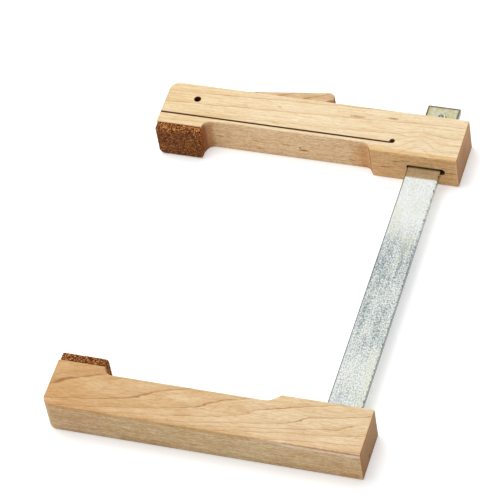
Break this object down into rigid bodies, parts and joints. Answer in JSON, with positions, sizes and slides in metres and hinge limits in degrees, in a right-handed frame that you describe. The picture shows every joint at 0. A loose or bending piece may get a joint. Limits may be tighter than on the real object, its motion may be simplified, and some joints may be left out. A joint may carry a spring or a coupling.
{
  "type": "luthier cam clamp",
  "caption": "Wooden bar clamp with cork-faced jaws; a lever turns a cam that springs a sawn tongue of the sliding jaw against the work.",
  "frame": {"origin": "centre of the clamp's footprint, on the surface it lies on, with the jaws fully open", "axes": "+X along the jaws from their tips to the bar, +Y along the bar from the fixed jaw to the sliding jaw, +Z through the jaws' thickness, up"},
  "size_m": [0.203, 0.2916, 0.025],
  "materials": {
    "fixed_jaw_wood": "sanded maple, bare",
    "sliding_jaw_wood": "sanded maple, bare",
    "lever_wood": "sanded maple, bare",
    "cork": "pressed granulated cork",
    "zinc_plate": "dull zinc plating with mottled spangle",
    "pin_steel": "bright spring steel",
    "dark_steel": "black oxide"
  },
  "bodies": {
    "fixed": {"fixed_jaw": "fixed_jaw_wood", "fixed_jaw_cork_pad": "cork", "bar": "zinc_plate", "bar_dowel_pins": "dark_steel", "bar_stop_pin": "pin_steel"},
    "slider": {"sliding_jaw": "sliding_jaw_wood", "cam_pivot_pin": "dark_steel"},
    "tongue": {"jaw_tongue": "sliding_jaw_wood", "sliding_jaw_cork_pad": "cork"},
    "lever": {"cam_lever": "lever_wood"}
  },
  "joints": [
    {"name": "jaw_slide", "type": "slide", "parent": "fixed", "child": "slider", "axis": [0, 1, 0], "range_m": [-0.1862, 0]},
    {"name": "cam_pivot", "type": "hinge", "parent": "slider", "child": "lever", "pos_m": [-0.08, 0.11455, 0.0125], "axis": [0, 0, 1], "range_deg": [0, 100]},
    {"name": "tongue_flex", "type": "hinge", "parent": "slider", "child": "tongue", "pos_m": [0.0365, 0.09695, 0.0125], "axis": [0, 0, 1], "range_deg": [0, 1.58]}
  ],
  "couplings": [
    {"joint": "tongue_flex", "follows": "cam_pivot", "ratio": 0.0158}
  ]
}
